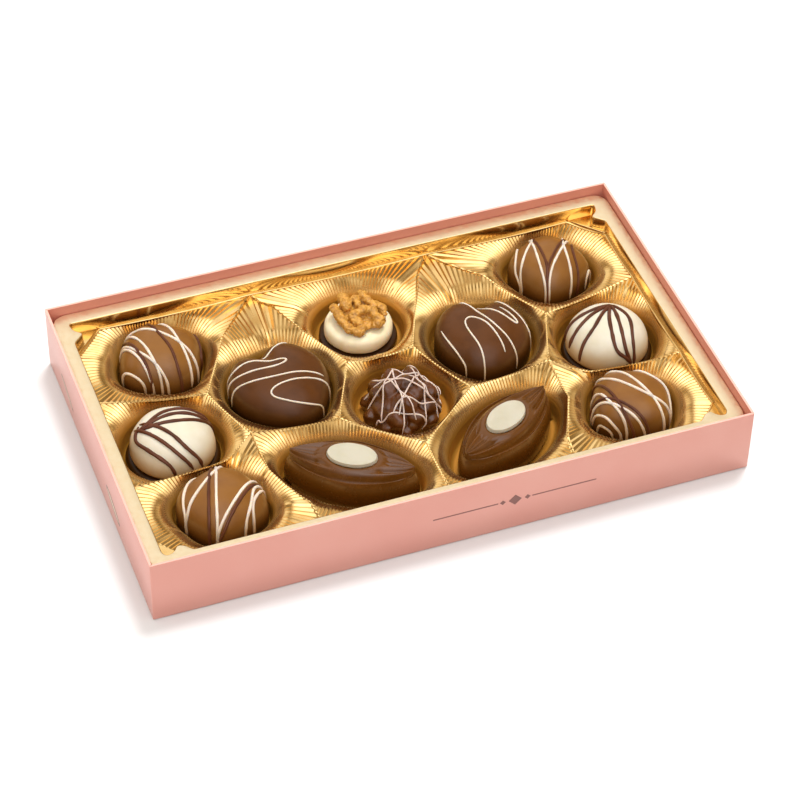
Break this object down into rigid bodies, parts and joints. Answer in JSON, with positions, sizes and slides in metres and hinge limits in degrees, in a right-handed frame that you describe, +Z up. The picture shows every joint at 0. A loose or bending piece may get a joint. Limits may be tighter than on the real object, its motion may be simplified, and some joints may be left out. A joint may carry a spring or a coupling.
{
  "type": "box of chocolate pralines",
  "caption": "Open shallow card box with a gold pleated tray whose moulded pockets each hold a decorated chocolate praline.",
  "frame": {"origin": "middle of the box's underside", "axes": "+X along the box's length to the right as seen from the front wall, +Y to the back wall, +Z up"},
  "size_m": [0.2, 0.122, 0.024],
  "materials": {
    "card": "satin coated",
    "gold_foil": "gold metallised",
    "milk_chocolate": "satin",
    "dark_chocolate": "satin gloss",
    "white_chocolate": "satin",
    "marzipan": "satin",
    "walnut": "glazed"
  },
  "bodies": {
    "root": {"card_box": "card", "tray": "gold_foil", "cushion_back_left": "milk_chocolate", "cushion_front_left": "milk_chocolate", "cushion_back_right": "milk_chocolate", "cushion_front_right": "milk_chocolate", "dome_foot_left": "dark_chocolate", "dome_foot_right": "dark_chocolate", "white_dome_left": "white_chocolate", "white_dome_right": "white_chocolate", "heart_left": "dark_chocolate", "heart_right": "dark_chocolate", "boat_left": "milk_chocolate", "boat_right": "milk_chocolate", "oval_left": "white_chocolate", "oval_right": "white_chocolate", "marzipan_foot": "dark_chocolate", "marzipan_body": "marzipan", "walnut_half": "walnut", "nut_cluster": "dark_chocolate"}
  },
  "joints": []
}
